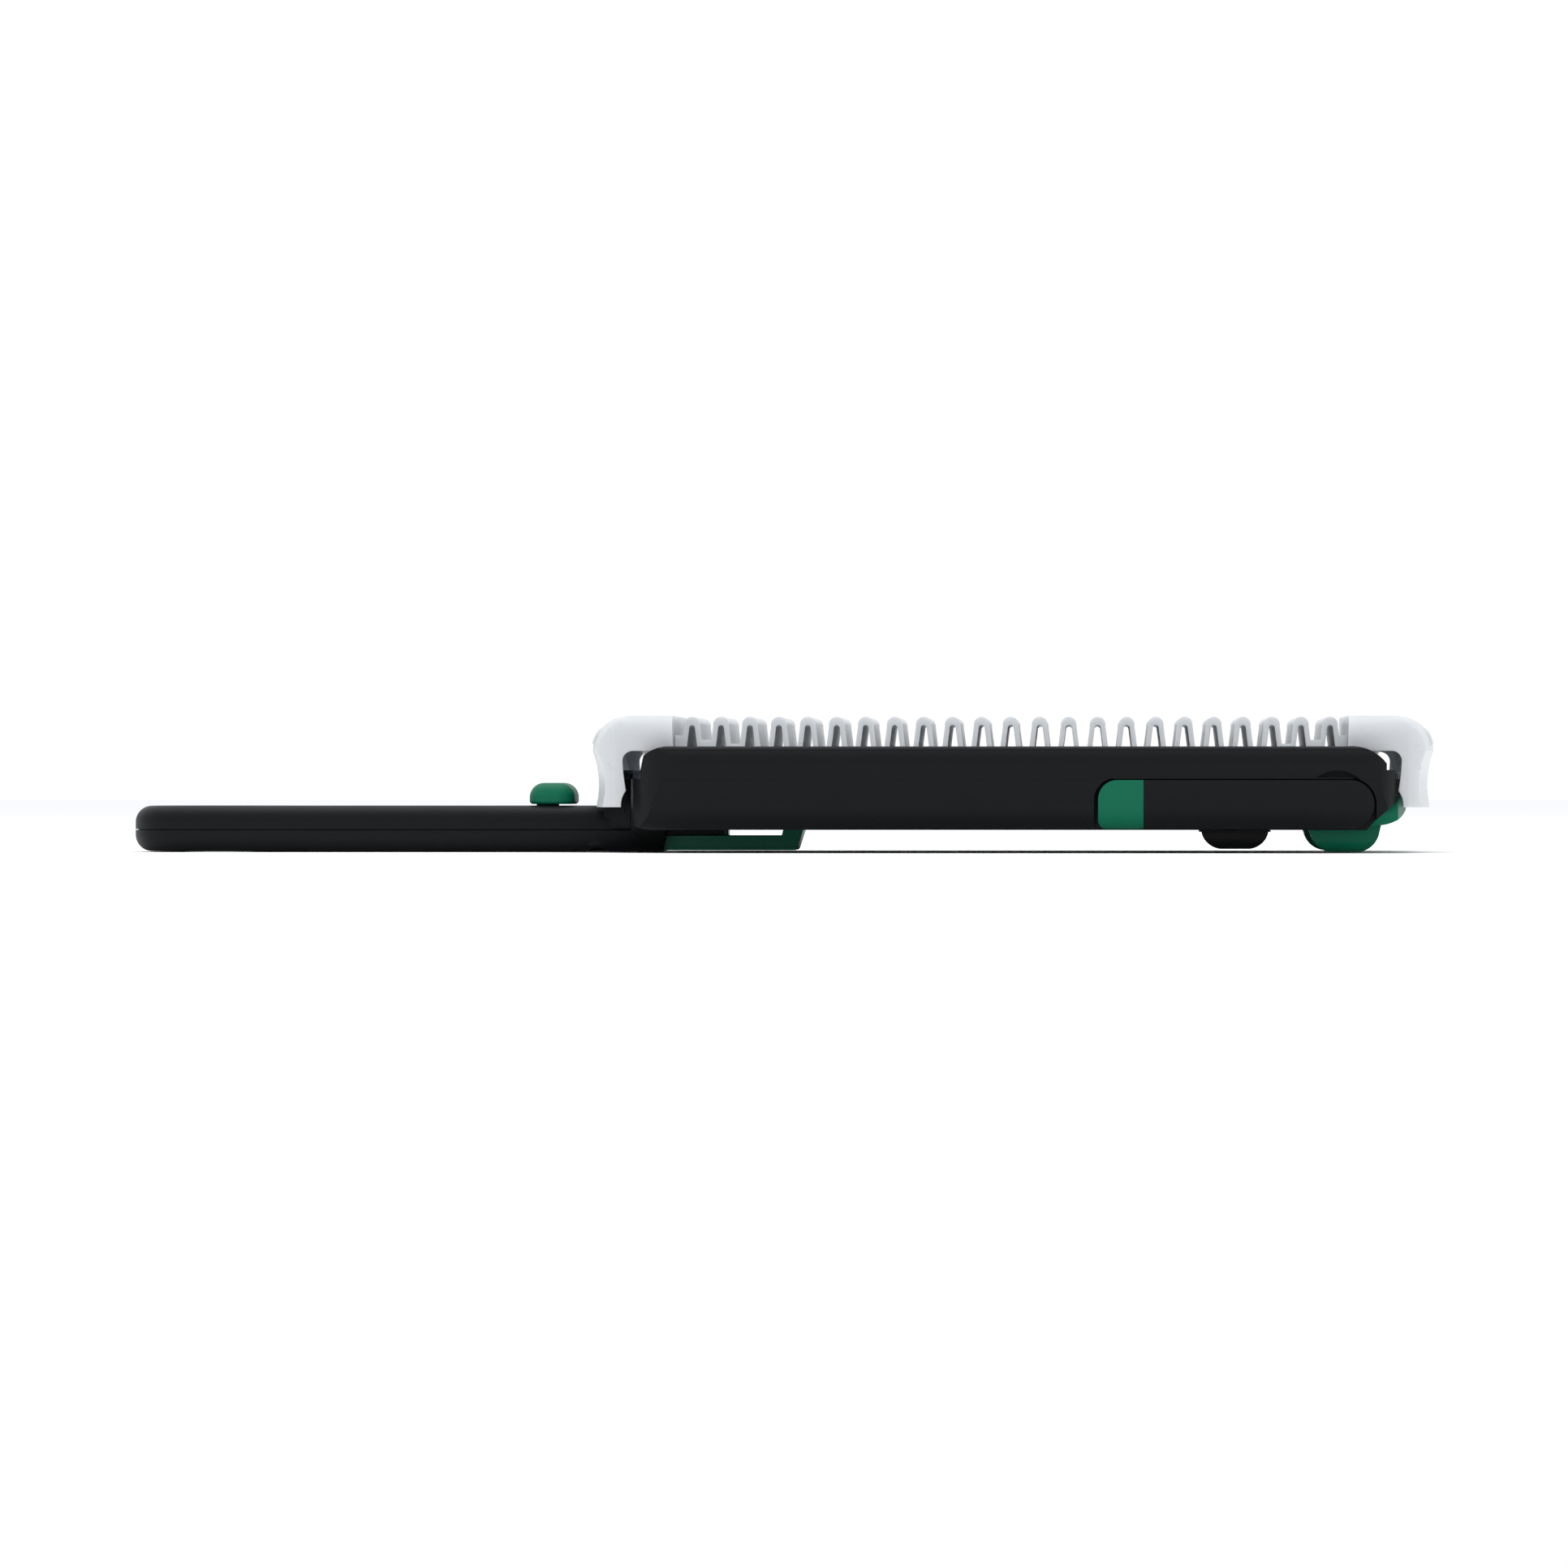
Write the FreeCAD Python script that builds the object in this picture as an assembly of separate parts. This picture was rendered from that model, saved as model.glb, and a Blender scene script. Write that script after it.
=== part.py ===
import FreeCAD, Part
import math
import os

# Handheld mandoline slicer, millimetres. +X runs from the handle to the far end,
# +Z up, and the origin is on the table under the middle of the whole object.

# Overall extents, and how far a cutting tool reaches to clear the whole object
HALF_LENGTH = 165.2
HALF_WIDTH = 54.2
BEYOND_X = 180.0
BEYOND_Y = 60.0
BEYOND_Z = 40.0

# Share of a radius between a square corner and the middle of its quarter arc
ARC_INSET = 0.293

# Handle
HANDLE_TOP = 11.6
HANDLE_SPLIT = 5.4
HANDLE_FRONT = -29.3
HANDLE_FRONT_LOW = -30.4
HANDLE_END_HALF = 18.6
HANDLE_NECK_HALF = 17.0
HANDLE_WALL = 2.0
HANDLE_END_R = 12.5
HANDLE_EDGE_R = 4.2
SHELL_GAP = 0.2
SEAM_DEPTH = 0.8
CAVITY_END_X = -127.35
CAVITY_HALF = 14.0
SLOT_NEAR = -75.0
SLOT_FAR = -48.4
HOLE_X = -144.2
HOLE_R = 8.25
RING_R = 12.65
SCREW_R = 1.25
SCREW_SPOTS = [(-122.0, 0.0), (-94.0, 0.0), (-47.0, 12.6), (-47.0, -12.6)]

# Body frame
BODY_BOTTOM = 5.6
DECK_TOP = 20.6
DECK_BOTTOM = 18.4
NEAR_X = -38.6
FAR_X = 157.0
BOSS_X = -41.2
BOSS_HALF = 19.8
NEAR_CORNER_R = 13.0
FAR_CORNER_R = 9.0
RAIL_INNER = 48.6
RAIL_TOP = 26.5
RAIL_NEAR = -35.6
RAIL_FAR = 151.9
NOSE_MID_X = 152.5
NOSE_MID_Z = 11.0
NOSE_LOW_X = 148.4
INNER_HALF = 45.0
INNER_NEAR = -35.0
INNER_FAR = 149.0
FLOOR_TOP = 7.6
WINDOW_Y = 26.4
WINDOW_HALF = 4.1
WINDOW_LOW = 14.5

# Deck, ramp and blade
DECK_HALF = 48.4
WELL_HALF = 40.4
WELL_NEAR = -32.0
CHANNEL_INNER = 41.5
CHANNEL_OUTER = 44.8
CHANNEL_DEPTH = 1.2
RIB_COUNT = 10
RIB_PITCH = 8.3
RIB_WIDTH = 0.8
RIB_HEIGHT = 0.4
EDGE_MID_X = 59.4
EDGE_SLOPE = -0.414
BLADE_DEPTH = 23.5
BLADE_THICK = 0.8
BLADE_TOP = 20.5
BLADE_HALF = 41.4
BLADE_SCREW_Z = 15.4
BLADE_SCREW_BACK = 14.0
SHELF_SETBACK = 8.5
SLOT_GAP = 5.6
RAMP_HALF = 39.6
RAMP_NEAR = -31.2
RAMP_THICK = 2.2
RAMP_TILT = 0.6
RAMP_SWING = 2.7

# Ramp hinge and thickness cam
HINGE_X = -27.5
HINGE_Z = 16.0
HINGE_PIN_R = 1.3
CAM_PIN_R = 1.2
CAM_PIN_X = 12.0
CAM_PIN_Z = 11.2
SLIDE_TRAVEL = 8.0
RUN_CLEAR = 0.05
BUTTON_SCREW_X = -58.5
BUTTON_LOW = 12.0
BUTTON_TOP = 17.4
GUIDE_END_X = -14.4
GUIDE_Y = 13.8
BRACKET_HALF = 13.0
BRACKET_LOW = 0.3
DETENT_X = -50.0

# Fold-out stand
STAND_X = 142.7
STAND_Z = 12.0
ARM_R = 6.1
ARM_TIP_X = 80.0
TIP_LENGTH = 11.3
ARM_INNER = 47.0
ARM_GAP = 0.5
AXLE_R = 2.0
BUSH_R = 3.6
STAND_ANGLE = 95.0
LOCK_Y = -35.0
FOOT_Y = 35.5
FOOT_HALF = 4.65

# Guard
GUARD_NEAR = -48.4
GUARD_HALF = 46.9
GUARD_TOP = 34.2
GUARD_WALL = 2.6
GUARD_BOW = 2.8
GUARD_SHOULDER_R = 8.8
GUARD_EDGE_R = 5.0
GUARD_HOOK_LOW = 11.3
CAP_INNER_NEAR = -26.6
CAP_INNER_FAR = 142.6
CAP_OPENING_TOP = 25.4
NOTCH_TOP_HALF = 19.6
NOTCH_LOW_HALF = 14.4
NOTCH_FLOOR = 30.6
WEB_TOP = 26.2
WEB_LOW = 24.6
COMB_HALF = 36.0
COMB_LEDGE = 1.4
ARCH_COUNT = 23
ARCH_PITCH = 7.28
ARCH_FIRST = -22.0
ARCH_TOP = 34.0
ARCH_FILL_TOPS = [29.3, 28.2, 27.2]
SPIKE_COUNT = 8
SPIKE_PITCH = 8.0
SPIKE_TIP = 22.0


def vec(x, y, z):
    return FreeCAD.Vector(x, y, z)


def block(x0, x1, y0, y1, z0, z1):
    return Part.makeBox(x1 - x0, y1 - y0, z1 - z0, vec(x0, y0, z0))


def rod_y(x, z, radius, y0, y1):
    return Part.makeCylinder(radius, y1 - y0, vec(x, y0, z), vec(0, 1, 0))


def rod_z(x, y, radius, z0, z1):
    return Part.makeCylinder(radius, z1 - z0, vec(x, y, z0), vec(0, 0, 1))


def outline_face(points, place):
    """Fill an outline. A point (a, b) ends a line, and ((a, b), (c, d)) is an arc's middle and end."""
    here = place(*points[0])
    start = here
    edges = []
    for point in points[1:]:
        if isinstance(point[0], tuple):
            middle, end = place(*point[0]), place(*point[1])
            edges.append(Part.Arc(here, middle, end).toShape())
        else:
            end = place(*point)
            edges.append(Part.LineSegment(here, end).toShape())
        here = end
    if (here - start).Length > 1e-6:
        edges.append(Part.LineSegment(here, start).toShape())
    return Part.Face(Part.Wire(edges))


def prism(points, place, push):
    return outline_face(points, place).extrude(push)


def prism_z(points, z0, z1):
    return prism(points, lambda x, y: vec(x, y, z0), vec(0, 0, z1 - z0))


def prism_y(points, y0, y1):
    return prism(points, lambda x, z: vec(x, y0, z), vec(0, y1 - y0, 0))


def prism_x(points, x0, x1):
    return prism(points, lambda y, z: vec(x0, y, z), vec(x1 - x0, 0, 0))


def joined(first, *others):
    return first.fuse(list(others)).removeSplitter()


def mirrored(shape):
    return shape.mirror(vec(0, 0, 0), vec(0, 1, 0))


def side_span(side, inner, outer):
    """Lower and upper Y of something on the left (1) or right (-1) side."""
    return sorted((side * inner, side * outer))


def turned_y(shape, x, z, degrees):
    copy = shape.copy()
    copy.rotate(vec(x, 0, z), vec(0, 1, 0), degrees)
    return copy


def rounded(shape, radius, wanted):
    return shape.makeFillet(radius, [edge for edge in shape.Edges if wanted(edge)])


def flat_at(edge, z):
    """True where the whole edge lies at one height."""
    box = edge.BoundBox
    return abs(box.ZMin - z) < 1e-4 and abs(box.ZMax - z) < 1e-4


def upright(edge):
    """True for a straight vertical edge."""
    box = edge.BoundBox
    return box.ZLength > 1.0 and box.XLength < 1e-4 and box.YLength < 1e-4


def edge_x(y, setback=0.0):
    """X of the cutting edge, or of a line parallel to it, at one side position."""
    return EDGE_MID_X + EDGE_SLOPE * y + setback


def slanted_band(front, back, half, z0, z1):
    """Plate between two lines parallel to the cutting edge."""
    points = [
        (edge_x(half, front), half),
        (edge_x(-half, front), -half),
        (edge_x(-half, back), -half),
        (edge_x(half, back), half),
    ]
    return prism_z(points, z0, z1)


def plan_form(z0, z1):
    """The body from above: bowed ends, round corners and the boss over the handle."""
    corner_near = NEAR_X + 3.2
    corner_far = FAR_X - 3.6
    points = [
        (corner_near, HALF_WIDTH),
        (corner_far, HALF_WIDTH),
        ((FAR_X, 0.0), (corner_far, -HALF_WIDTH)),
        (corner_near, -HALF_WIDTH),
        ((NEAR_X, 0.0), (corner_near, HALF_WIDTH)),
    ]
    form = prism_z(points, z0, z1)
    form = rounded(form, NEAR_CORNER_R, lambda e: upright(e) and e.BoundBox.XMax < 0.0)
    form = rounded(form, FAR_CORNER_R, lambda e: upright(e) and e.BoundBox.XMax > 152.0)
    boss = block(BOSS_X, NEAR_X + 6.0, -BOSS_HALF, BOSS_HALF, z0, z1)
    form = joined(form, boss)
    return rounded(form, 1.3, lambda e: upright(e) and abs(abs(e.BoundBox.YMax) - BOSS_HALF) < 0.01)


def cross_section():
    """Body side profile: (Y, Z) of the walls up to the deck seat, both sides."""
    right = [
        (46.0, BODY_BOTTOM),
        ((50.0, 8.0), (51.5, 12.0)),
        (53.1, 17.8),
        (53.1, DECK_TOP),
    ]
    points = list(right)
    points.append((-53.1, DECK_TOP))
    points.append((-53.1, 17.8))
    points.append((-51.5, 12.0))
    points.append(((-50.0, 8.0), (-46.0, BODY_BOTTOM)))
    return points


def side_profile():
    """Body seen from the side: (X, Z), with the rolled near corner and the undercut nose."""
    return [
        (-31.5, BODY_BOTTOM),
        ((-37.6, 7.6), (BOSS_X, 12.8)),
        (BOSS_X - 1.0, DECK_TOP),
        (FAR_X + 1.0, DECK_TOP),
        (FAR_X - 0.7, 13.8),
        ((NOSE_MID_X, NOSE_MID_Z), (NOSE_LOW_X, 7.2)),
        (NOSE_LOW_X - 1.4, BODY_BOTTOM),
    ]


def body_outer():
    """The body's outer form up to the deck's top."""
    form = plan_form(0.0, DECK_TOP).common(prism_x(cross_section(), -BEYOND_X, BEYOND_X))
    return form.common(prism_y(side_profile(), -BEYOND_Y, BEYOND_Y))


def body_shell():
    half = DECK_HALF + 0.1
    return body_outer().cut(block(-BEYOND_X, BEYOND_X, -half, half, DECK_BOTTOM, DECK_TOP + 1.0))


def rail():
    """One raised side rail with bullet-shaped ends, +Y side."""
    low = DECK_BOTTOM - 1.0
    section = [
        (RAIL_INNER, DECK_BOTTOM - 0.2),
        (RAIL_INNER, DECK_TOP),
        (49.7, 24.6),
        ((51.1, RAIL_TOP), (53.0, 25.4)),
        ((54.0, 23.4), (HALF_WIDTH, 21.5)),
        (52.9, 18.0),
    ]
    length = [
        (RAIL_NEAR, low),
        (RAIL_NEAR, 22.2),
        ((RAIL_NEAR + 3.3, 25.1), (RAIL_NEAR + 9.6, RAIL_TOP)),
        (RAIL_FAR - 9.6, RAIL_TOP),
        ((RAIL_FAR - 3.3, 25.1), (RAIL_FAR, 22.2)),
        (RAIL_FAR, low),
    ]
    bar = prism_x(section, -BEYOND_X, BEYOND_X)
    bar = bar.common(prism_y(length, 0.0, BEYOND_Y))
    return bar.common(plan_form(0.0, BEYOND_Z))


def handle_plan(inset, z0, z1):
    """Handle from above: slight taper and a round end."""
    neck, end = HANDLE_NECK_HALF - inset, HANDLE_END_HALF - inset
    tail = -HALF_LENGTH + inset
    plan = prism_z([(HANDLE_FRONT, neck), (tail, end), (tail, -end), (HANDLE_FRONT, -neck)], z0, z1)
    corners = [edge for edge in plan.Edges if edge.BoundBox.ZLength > 0.1 and edge.BoundBox.XMax < -100.0]
    return plan.makeFillet(HANDLE_END_R - inset, corners)


def handle_blank():
    """Handle before it is split and hollowed, with soft edges."""
    blank = handle_plan(0.0, 0.0, HANDLE_TOP)

    def long_edge(edge):
        level = flat_at(edge, 0.0) or flat_at(edge, HANDLE_TOP)
        return level and edge.BoundBox.XMin < HANDLE_FRONT - 1.0

    blank = rounded(blank, HANDLE_EDGE_R, long_edge)
    slant = [
        (HANDLE_FRONT_LOW, 0.0),
        (HANDLE_FRONT, HANDLE_SPLIT),
        (HANDLE_FRONT + 1.0, HANDLE_SPLIT),
        (HANDLE_FRONT + 1.0, -1.0),
        (HANDLE_FRONT_LOW, -1.0),
    ]
    return blank.cut(prism_y(slant, -BEYOND_Y, BEYOND_Y))


def handle_cavity():
    front = HANDLE_FRONT + 1.0
    top = HANDLE_TOP - HANDLE_WALL
    return block(CAVITY_END_X, front, -CAVITY_HALF, CAVITY_HALF, HANDLE_WALL, top)


def neck_web():
    """Concave gusset between the handle's sides and the near wall."""
    front = NEAR_X + 2.0
    points = [
        (-45.0, HANDLE_NECK_HALF),
        ((-40.4, 18.3), (front, 23.0)),
        (front, -23.0),
        ((-40.4, -18.3), (-45.0, -HANDLE_NECK_HALF)),
    ]
    web = prism_z(points, BODY_BOTTOM + 0.4, HANDLE_TOP - 0.6)
    return web.cut(block(-60.0, -36.0, -15.0, 15.0, 0.0, 20.0))


def neck_flare():
    """Hollow-curved skirt that carries the near wall down beside the handle, +Y side."""
    seen_from_side = [
        (-40.0, 12.0),
        (-39.0, 7.0),
        ((-37.0, 3.5), (-33.8, 1.4)),
        (HANDLE_FRONT_LOW, 0.4),
        (HANDLE_FRONT, HANDLE_SPLIT),
        (HANDLE_FRONT, 8.6),
        (INNER_NEAR, 12.0),
    ]
    inner = HANDLE_NECK_HALF + 0.4
    section = [
        (inner, 2.0),
        ((21.6, 4.9), (34.0, BODY_BOTTOM + 0.1)),
        (34.0, 12.0),
        (inner, 12.0),
    ]
    flare = prism_y(seen_from_side, 0.0, BEYOND_Y).common(prism_x(section, -BEYOND_X, 0.0))
    return flare.common(plan_form(0.0, 12.0))


def slider_guide():
    """Rib under the body floor that keeps the green slider straight, +Y side."""
    return block(HANDLE_FRONT, GUIDE_END_X, GUIDE_Y, GUIDE_Y + 1.8, 4.2, 8.0)


def handle_upper():
    half = handle_blank().cut(block(-BEYOND_X, 0.0, -BEYOND_Y, BEYOND_Y, -1.0, HANDLE_SPLIT + SHELL_GAP))
    half = half.cut(handle_cavity())
    slot = joined(
        block(SLOT_NEAR + 5.0, SLOT_FAR - 5.0, -5.0, 5.0, 5.0, 20.0),
        rod_z(SLOT_NEAR + 5.0, 0.0, 5.0, 5.0, 20.0),
        rod_z(SLOT_FAR - 5.0, 0.0, 5.0, 5.0, 20.0),
    )
    bosses = []
    for x, y in SCREW_SPOTS:
        bosses.append(rod_z(x, y, 3.0, HANDLE_SPLIT + SHELL_GAP, HANDLE_TOP - 1.0))
    half = joined(half, *bosses)
    for x, y in SCREW_SPOTS:
        half = half.cut(rod_z(x, y, SCREW_R, 0.0, 9.0))
    return half.cut(slot).cut(rod_z(HOLE_X, 0.0, RING_R, 0.0, 20.0))


def leg_recess():
    """Space for one folded arm and its swing, +Y side."""
    top = STAND_Z + ARM_R + ARM_GAP
    reach = ARM_R + ARM_GAP
    points = [
        (ARM_TIP_X - 1.0, -2.0),
        (ARM_TIP_X - 1.0, top - 5.5),
        ((ARM_TIP_X + 0.6, top - 1.6), (ARM_TIP_X + 4.5, top)),
        (STAND_X, top),
        ((STAND_X + reach * 0.7071, STAND_Z + reach * 0.7071), (STAND_X + reach, STAND_Z)),
        (STAND_X + reach, -2.0),
    ]
    recess = prism_y(points, ARM_INNER - ARM_GAP, BEYOND_Y)
    crescent = rod_y(STAND_X - 3.2, STAND_Z, 8.4, 50.2, BEYOND_Y)
    return joined(recess, crescent)


def body_floor():
    """Cross floor and corner fill round the stand axle, and the shelf that carries the lock."""
    half = INNER_HALF + 0.5
    outline = [
        (128.0, BODY_BOTTOM),
        (FAR_X, BODY_BOTTOM),
        (FAR_X, 12.0),
        (INNER_FAR, 12.0),
        (146.0, FLOOR_TOP),
        (128.0, FLOOR_TOP),
    ]
    shapes = [prism_y(outline, -half, half), block(98.0, 129.0, -half, -24.0, BODY_BOTTOM, FLOOR_TOP)]
    for side in (1, -1):
        ends = side_span(side, 40.0, half)
        shapes.append(block(STAND_X - 6.0, INNER_FAR + 0.5, ends[0], ends[1], 7.0, 17.6))
    limits = plan_form(0.0, 20.0).common(prism_y(side_profile(), -BEYOND_Y, BEYOND_Y))
    return [shape.common(limits) for shape in shapes]


def body_frame():
    frame = joined(body_shell(), rail(), mirrored(rail()), neck_web())
    inside = block(-24.0, INNER_FAR, -INNER_HALF, INNER_HALF, 0.0, DECK_BOTTOM + 1.0)
    behind_wall = block(INNER_NEAR, INNER_FAR, -INNER_HALF, INNER_HALF, 10.0, DECK_BOTTOM + 1.0)
    frame = frame.cut(inside).cut(behind_wall)
    frame = joined(frame, *body_floor())
    frame = frame.cut(leg_recess()).cut(mirrored(leg_recess()))
    frame = frame.cut(rod_y(STAND_X, STAND_Z, BUSH_R, -BEYOND_Y, BEYOND_Y))
    for y in (-WINDOW_Y, WINDOW_Y):
        low, high = y - WINDOW_HALF, y + WINDOW_HALF
        frame = frame.cut(block(-50.0, INNER_NEAR + 1.0, low, high, WINDOW_LOW, 20.0))
        frame = frame.cut(block(INNER_FAR - 1.0, BEYOND_X, low, high, WINDOW_LOW, 20.0))
    frame = joined(frame, handle_upper())
    tunnel = block(HANDLE_FRONT - 14.0, -23.0, -GUIDE_Y, GUIDE_Y, 0.0, HANDLE_TOP - HANDLE_WALL)
    frame = frame.cut(tunnel)
    flare, guide = neck_flare(), slider_guide()
    frame = joined(frame, flare, mirrored(flare), guide, mirrored(guide))
    lock_slot = block(108.8, 118.4, LOCK_Y - 2.2, LOCK_Y + 2.2, 0.0, 9.0)
    return frame.cut(lock_slot)


def handle_lower_cover():
    cover = handle_blank().common(block(-BEYOND_X, 0.0, -BEYOND_Y, BEYOND_Y, 0.0, HANDLE_SPLIT))
    cover = joined(cover, handle_plan(SEAM_DEPTH, HANDLE_SPLIT - 0.1, HANDLE_SPLIT + SHELL_GAP))
    cover = cover.cut(handle_cavity())
    for x, y in SCREW_SPOTS:
        cover = joined(cover, rod_z(x, y, 4.4, HANDLE_WALL - 0.5, HANDLE_SPLIT))
    for x, y in SCREW_SPOTS:
        cover = cover.cut(rod_z(x, y, 1.6, 0.0, 9.0)).cut(rod_z(x, y, 3.0, 0.0, 2.6))
    step = SLIDE_TRAVEL / 4.0
    for index in range(5):
        cover = cover.cut(rod_y(DETENT_X + index * step, HANDLE_WALL + 0.35, 0.8, -3.5, 3.5))
    return cover.cut(rod_z(HOLE_X, 0.0, RING_R, -1.0, 20.0))


def handle_screws():
    screws = []
    for x, y in SCREW_SPOTS:
        head = rod_z(x, y, 2.7, 0.9, 2.6).cut(block(x - 2.0, x + 2.0, y - 0.35, y + 0.35, 0.0, 1.5))
        head = head.cut(block(x - 0.35, x + 0.35, y - 2.0, y + 2.0, 0.0, 1.5))
        screws.append(joined(head, rod_z(x, y, SCREW_R, 2.6, 8.6)))
    return Part.makeCompound(screws)


def hang_ring():
    ring = rod_z(HOLE_X, 0.0, RING_R - 0.05, 0.5, HANDLE_TOP - 0.35)
    ring = ring.cut(rod_z(HOLE_X, 0.0, HOLE_R, 0.0, 20.0))
    return rounded(
        ring,
        1.1,
        lambda e: e.BoundBox.XLength < 2.0 * HOLE_R + 0.1 and e.BoundBox.ZLength < 0.1,
    )


def rib_positions():
    return [(index - (RIB_COUNT - 1) / 2.0) * RIB_PITCH for index in range(RIB_COUNT)]


def rib(x0, x1, y):
    """One thin raised line with round ends."""
    half = RIB_WIDTH / 2.0
    z0, z1 = DECK_TOP - 0.5, DECK_TOP + RIB_HEIGHT
    return joined(
        block(x0, x1, y - half, y + half, z0, z1),
        rod_z(x0, y, half, z0, z1),
        rod_z(x1, y, half, z0, z1),
    )


def guard_channel():
    """Straight groove beside the well, closed by slanted ends, +Y side."""
    points = [
        (-35.0, CHANNEL_INNER),
        (142.0, CHANNEL_INNER),
        (150.0, CHANNEL_INNER + 1.6),
        (147.0, CHANNEL_OUTER),
        (-20.0, CHANNEL_OUTER),
    ]
    return prism_z(points, DECK_TOP - CHANNEL_DEPTH, DECK_TOP + 1.0)


def deck_plate():
    plate = plan_form(DECK_BOTTOM, DECK_TOP)
    plate = plate.common(block(-BEYOND_X, BEYOND_X, -DECK_HALF, DECK_HALF, 0.0, BEYOND_Z))
    plate = rounded(plate, 1.7, lambda e: flat_at(e, DECK_TOP) and e.BoundBox.XLength < 100.0)
    well = [
        (WELL_NEAR, WELL_HALF),
        (edge_x(WELL_HALF, SHELF_SETBACK), WELL_HALF),
        (edge_x(-WELL_HALF, SHELF_SETBACK), -WELL_HALF),
        (WELL_NEAR, -WELL_HALF),
    ]
    well = prism_z(well, 0.0, BEYOND_Z)
    well = rounded(well, 6.0, lambda e: e.BoundBox.ZLength > 5.0 and e.BoundBox.XMax < 0.0)
    plate = plate.cut(well)
    blade_low = BLADE_TOP - BLADE_THICK
    plate = plate.cut(slanted_band(0.0, BLADE_DEPTH, BLADE_HALF + 0.02, blade_low, BEYOND_Z))
    plate = plate.cut(guard_channel()).cut(mirrored(guard_channel()))
    ribs = []
    for y in rib_positions():
        ribs.append(rib(edge_x(y, BLADE_DEPTH + 4.5), FAR_X - 8.0, y))
    plate = joined(plate, *ribs)
    for side in (1, -1):
        plate = joined(plate, hinge_lug(side))
        plate = plate.cut(blade_tab(side, 0.0))
        plate = joined(plate, *deck_latches(side))
    return plate.cut(rod_y(HINGE_X, HINGE_Z, HINGE_PIN_R, -BEYOND_Y, BEYOND_Y))


def deck_latches(side):
    """Snap tabs that drop behind the end walls and fill their windows."""
    y = side * WINDOW_Y
    half = WINDOW_HALF - 0.3
    near = joined(
        block(INNER_NEAR + 0.3, INNER_NEAR + 1.8, y - half, y + half, WINDOW_LOW + 0.3, DECK_BOTTOM + 0.5),
        block(NEAR_X + 1.0, INNER_NEAR + 0.8, y - half, y + half, WINDOW_LOW + 0.3, DECK_BOTTOM),
    )
    far = joined(
        block(INNER_FAR - 1.8, INNER_FAR - 0.3, y - half, y + half, WINDOW_LOW + 0.3, DECK_BOTTOM + 0.5),
        block(INNER_FAR - 0.8, FAR_X - 2.2, y - half, y + half, WINDOW_LOW + 0.3, DECK_BOTTOM),
    )
    return [near, far]


def hinge_lug(side):
    """Deck ear that holds one end of the ramp's hinge pin."""
    ends = side_span(side, 41.0, 44.4)
    lug = joined(
        block(HINGE_X - 3.0, HINGE_X + 3.0, ends[0], ends[1], HINGE_Z, DECK_BOTTOM + 0.2),
        rod_y(HINGE_X, HINGE_Z, 3.0, ends[0], ends[1]),
    )
    return lug


def blade_tab(side, z_low):
    """Down-turned end of the blade, +Y or -Y side."""
    ends = side_span(side, BLADE_HALF - 0.8, BLADE_HALF)
    middle = edge_x(side * BLADE_HALF, BLADE_SCREW_BACK)
    return block(middle - 5.0, middle + 5.0, ends[0], ends[1], z_low, BLADE_TOP - BLADE_THICK / 2.0)


def blade():
    plate = slanted_band(0.0, BLADE_DEPTH, BLADE_HALF, BLADE_TOP - BLADE_THICK, BLADE_TOP)
    plate = plate.cut(edge_bevel())
    for side in (1, -1):
        plate = joined(plate, blade_tab(side, 12.6))
    for side in (1, -1):
        plate = plate.cut(blade_screw_hole(side, 1.6))
    return plate


def edge_bevel():
    """Wedge that grinds the cutting edge from above."""
    half = 70.0
    low = BLADE_TOP - BLADE_THICK + 0.08
    corners = [
        vec(edge_x(half, -0.5), half, low - 0.17),
        vec(edge_x(half, 2.4), half, BLADE_TOP),
        vec(edge_x(half, 2.4), half, BLADE_TOP + 1.0),
        vec(edge_x(half, -0.5), half, BLADE_TOP + 1.0),
    ]
    corners.append(corners[0])
    push = vec(edge_x(-half) - edge_x(half), -2.0 * half, 0.0)
    return Part.Face(Part.makePolygon(corners)).extrude(push)


def blade_screw_hole(side, radius):
    x = edge_x(side * BLADE_HALF, BLADE_SCREW_BACK)
    ends = side_span(side, 34.0, BEYOND_Y)
    return rod_y(x, BLADE_SCREW_Z, radius, ends[0], ends[1])


def blade_holder(side):
    """Block under the deck that one end of the blade is screwed to."""
    inner, outer = 30.6, BLADE_HALF - 0.8
    points = [
        (edge_x(side * inner, 9.5), side * inner),
        (edge_x(side * outer, 9.5), side * outer),
        (edge_x(side * outer, 20.5), side * outer),
        (edge_x(side * inner, 20.5), side * inner),
    ]
    return prism_z(points, 11.8, DECK_BOTTOM).cut(blade_screw_hole(side, SCREW_R))


def blade_screws():
    screws = []
    for side in (1, -1):
        x = edge_x(side * BLADE_HALF, BLADE_SCREW_BACK)
        head = side_span(side, BLADE_HALF, BLADE_HALF + 1.8)
        shank = side_span(side, BLADE_HALF, 34.2)
        screw_head = rod_y(x, BLADE_SCREW_Z, 2.6, head[0], head[1])
        screws.append(joined(screw_head, rod_y(x, BLADE_SCREW_Z, SCREW_R, shank[0], shank[1])))
    return Part.makeCompound(screws)


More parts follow.
